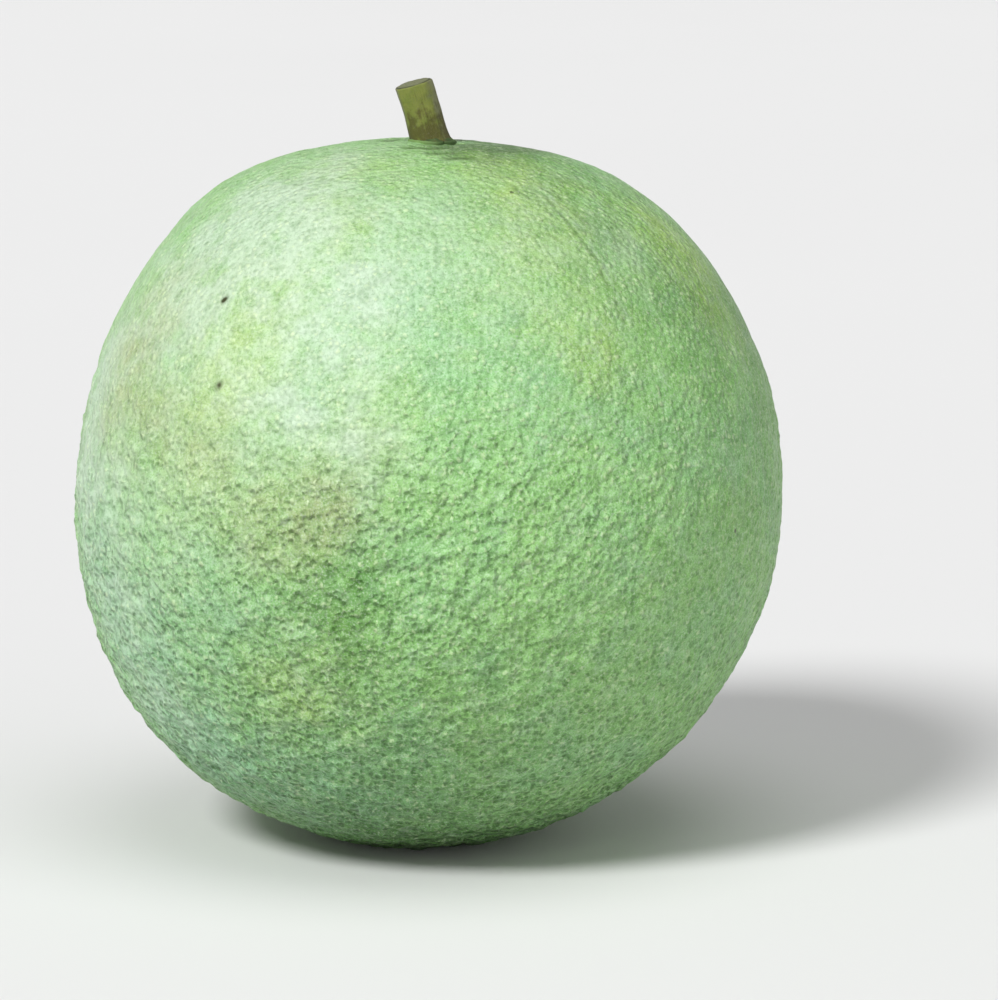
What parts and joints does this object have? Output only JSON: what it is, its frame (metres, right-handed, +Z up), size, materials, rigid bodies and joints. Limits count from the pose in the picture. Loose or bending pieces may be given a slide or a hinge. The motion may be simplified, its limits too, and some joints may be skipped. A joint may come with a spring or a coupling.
{
  "type": "pomelo",
  "caption": "Whole green pomelo, a large thick-rinded citrus fruit that rests on a small flat spot, with its lobed button and a short cut stem at the crown.",
  "frame": {"origin": "middle of the small flat spot that the fruit rests on, under its stem end", "axes": "+Z up from the blossom end to the stem end; the stem leans mostly towards -X and a little towards -Y"},
  "size_m": [0.1499, 0.153, 0.1613],
  "materials": {
    "rind": "waxy pebbled citrus rind",
    "button": "matt green skin",
    "stem_wood": "matt green bark with a dry cut end"
  },
  "bodies": {
    "root": {"fruit": "rind", "calyx_button": "button", "stem": "stem_wood"}
  },
  "joints": []
}
